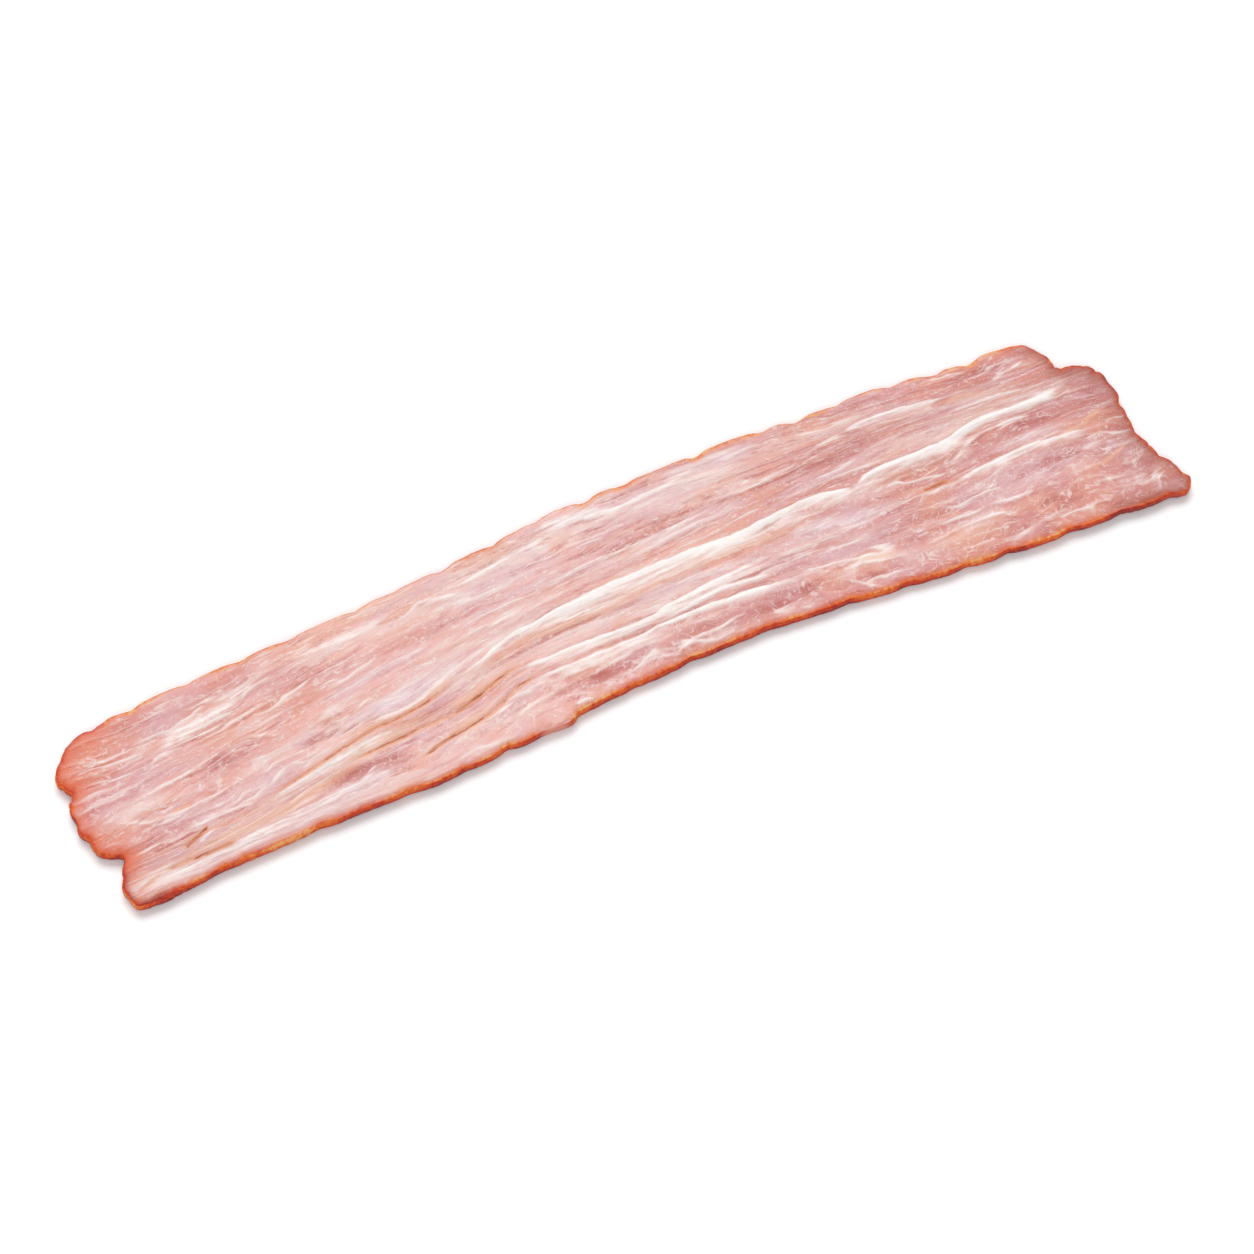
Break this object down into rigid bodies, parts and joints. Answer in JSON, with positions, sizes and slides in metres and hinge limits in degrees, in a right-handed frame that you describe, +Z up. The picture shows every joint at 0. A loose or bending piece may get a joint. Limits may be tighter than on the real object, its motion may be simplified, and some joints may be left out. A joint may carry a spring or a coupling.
{
  "type": "turkey bacon rasher",
  "caption": "Flat cured turkey bacon rasher, gently bowed, with bands of pale fat along the grain and a thin browned, nicked rim.",
  "frame": {"origin": "centre of the slice's box, on the surface it rests on", "axes": "+X along the grain towards the slanted end, +Y towards the outer edge of the bow, +Z up"},
  "size_m": [0.2046, 0.0444, 0.0027],
  "materials": {
    "cured_turkey": "moist soft gloss"
  },
  "bodies": {
    "root": {"rasher": "cured_turkey"}
  },
  "joints": []
}
